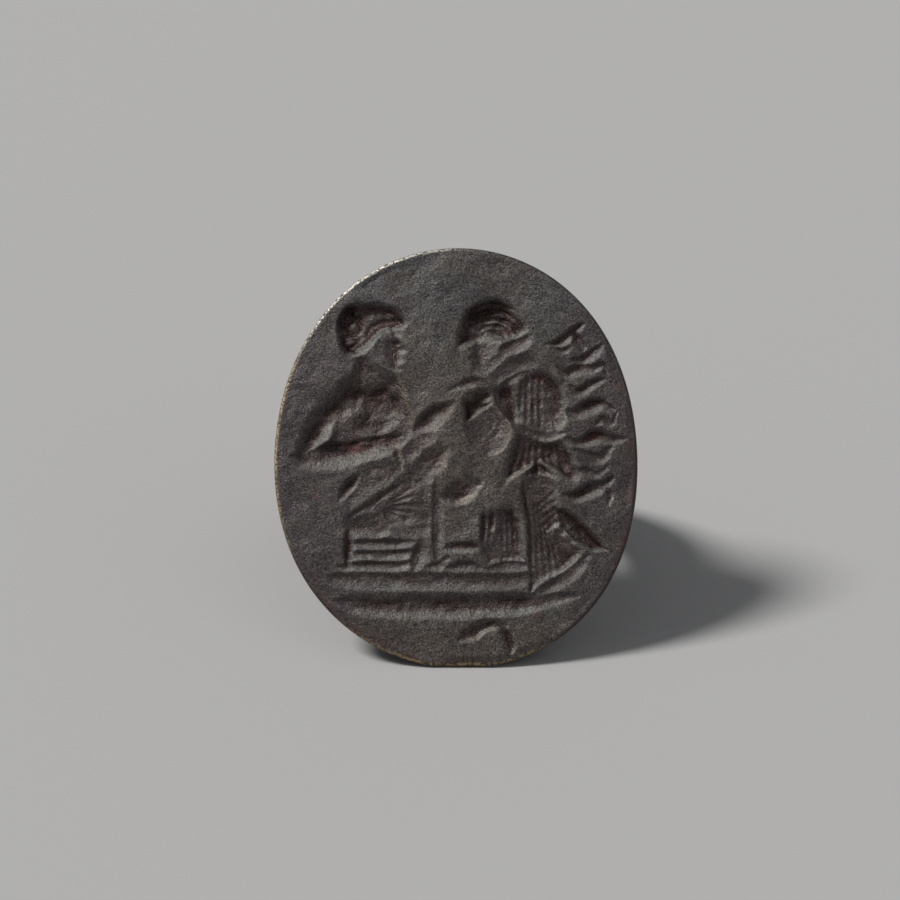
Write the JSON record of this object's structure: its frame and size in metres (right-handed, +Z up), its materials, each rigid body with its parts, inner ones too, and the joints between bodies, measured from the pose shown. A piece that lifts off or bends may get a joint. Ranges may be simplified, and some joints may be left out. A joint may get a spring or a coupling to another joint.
{
  "type": "intaglio ring",
  "caption": "Cast bronze finger ring with an oval bezel engraved in sunk relief with a seated and a standing figure, lying on its side.",
  "frame": {"origin": "on the surface that the ring lies on, under the middle of its bounding box", "axes": "+Z up, +X across the finger to the right of the engraved face, and the face looks to -Y, leaning back"},
  "size_m": [0.0214, 0.0248, 0.0219],
  "materials": {
    "bronze": "bronze with a dark grey-brown patina, granular, worn to brassy metal along the rim"
  },
  "bodies": {
    "root": {"ring": "bronze"}
  },
  "joints": []
}
